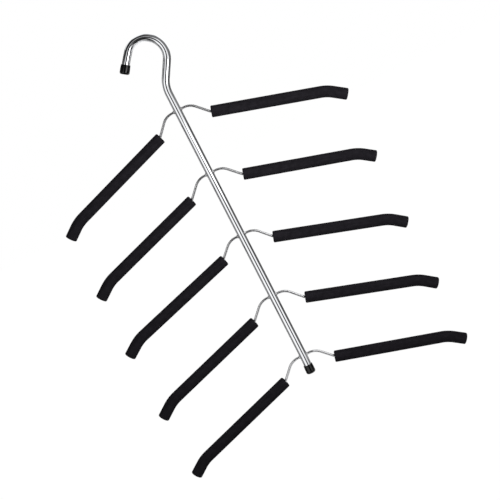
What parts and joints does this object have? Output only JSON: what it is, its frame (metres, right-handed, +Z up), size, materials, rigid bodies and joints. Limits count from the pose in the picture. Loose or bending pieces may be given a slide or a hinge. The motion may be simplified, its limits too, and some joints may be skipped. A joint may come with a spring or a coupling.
{
  "type": "multi-layer clothes hanger",
  "caption": "Layered clothes hanger: sloping foam-sleeved wire arms cross a straight chromed pole that bends over into a hook; black end caps.",
  "frame": {"origin": "the hook's seat: the top of the hook's inside, where it bears on a rail", "axes": "+Z up along the pole, towards the hook; +X towards the arms on the right as the picture shows it, the side the neck leans to; +Y away from the viewer, square to the plane of the arms; the hook opens towards -X"},
  "size_m": [0.4013, 0.0142, 0.5384],
  "materials": {
    "chrome_tube": "polished chrome plate",
    "steel_wire": "bright plated wire",
    "weld_metal": "plated weld bead",
    "black_foam": "matt closed-cell foam",
    "black_vinyl": "dipped soft vinyl"
  },
  "bodies": {
    "root": {"hook_pole": "chrome_tube", "hook_end_cap": "black_vinyl", "pole_end_cap": "black_vinyl", "arm_wire_1": "steel_wire", "foam_sleeve_left_1": "black_foam", "weld_left_1": "weld_metal", "foam_sleeve_right_1": "black_foam", "weld_right_1": "weld_metal", "arm_wire_2": "steel_wire", "foam_sleeve_left_2": "black_foam", "weld_left_2": "weld_metal", "foam_sleeve_right_2": "black_foam", "weld_right_2": "weld_metal", "arm_wire_3": "steel_wire", "foam_sleeve_left_3": "black_foam", "weld_left_3": "weld_metal", "foam_sleeve_right_3": "black_foam", "weld_right_3": "weld_metal", "arm_wire_4": "steel_wire", "foam_sleeve_left_4": "black_foam", "weld_left_4": "weld_metal", "foam_sleeve_right_4": "black_foam", "weld_right_4": "weld_metal", "arm_wire_5": "steel_wire", "foam_sleeve_left_5": "black_foam", "weld_left_5": "weld_metal", "foam_sleeve_right_5": "black_foam", "weld_right_5": "weld_metal"}
  },
  "joints": []
}
